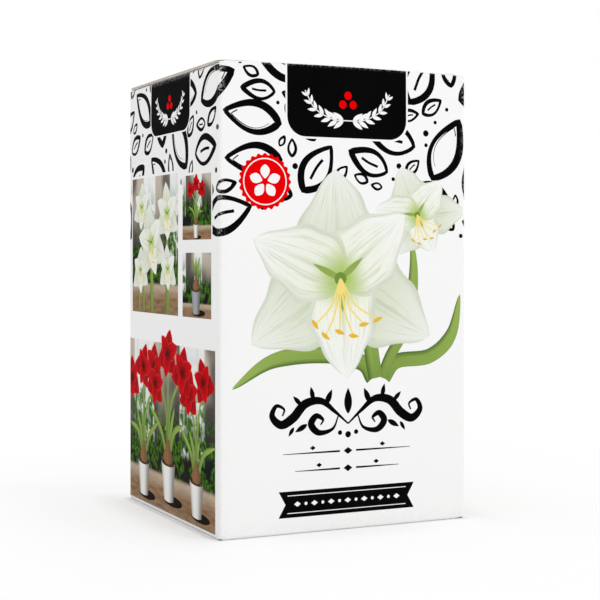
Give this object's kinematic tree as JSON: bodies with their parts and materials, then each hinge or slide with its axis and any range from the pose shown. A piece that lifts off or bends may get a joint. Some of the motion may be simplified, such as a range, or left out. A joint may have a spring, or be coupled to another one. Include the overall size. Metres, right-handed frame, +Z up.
{
  "type": "flower bulb carton",
  "caption": "Upright printed folding carton with a hinged tuck-in lid, dust flaps and a locked bottom, holding a flower bulb with its roots.",
  "frame": {"origin": "middle of the footprint, on the surface that the carton stands on", "axes": "+Z up, +X to the right along the front panel, +Y from the front panel to the rear panel"},
  "size_m": [0.13, 0.125, 0.215],
  "materials": {
    "printed_board": "satin",
    "plain_board": "matte",
    "bulb_skin": "matte"
  },
  "bodies": {
    "carton": {"sleeve": "printed_board", "glue_flap": "plain_board", "bottom_flap_front": "plain_board", "bottom_flap_rear": "plain_board", "bottom_flap_left": "plain_board", "bottom_flap_right": "plain_board", "bulb": "bulb_skin"},
    "lid": {"lid": "printed_board"},
    "tuck_flap": {"tuck_flap": "printed_board"},
    "dust_flap_left": {"dust_flap_left": "plain_board"},
    "dust_flap_right": {"dust_flap_right": "plain_board"}
  },
  "joints": [
    {"name": "lid_hinge", "type": "hinge", "parent": "carton", "child": "lid", "pos_m": [0, 0.0628, 0.215], "axis": [-1, 0, 0], "range_deg": [0, 175]},
    {"name": "tuck_fold", "type": "hinge", "parent": "lid", "child": "tuck_flap", "pos_m": [0, -0.0613, 0.215], "axis": [-1, 0, 0], "range_deg": [0, 43.75]},
    {"name": "dust_fold_left", "type": "hinge", "parent": "carton", "child": "dust_flap_left", "pos_m": [-0.0653, 0, 0.2135], "axis": [0, -1, 0], "range_deg": [0, 96.25]},
    {"name": "dust_fold_right", "type": "hinge", "parent": "carton", "child": "dust_flap_right", "pos_m": [0.0653, 0, 0.2135], "axis": [0, 1, 0], "range_deg": [0, 96.25]}
  ],
  "couplings": [
    {"joint": "tuck_fold", "follows": "lid_hinge", "ratio": 0.25},
    {"joint": "dust_fold_left", "follows": "lid_hinge", "ratio": 0.55},
    {"joint": "dust_fold_right", "follows": "lid_hinge", "ratio": 0.55}
  ]
}
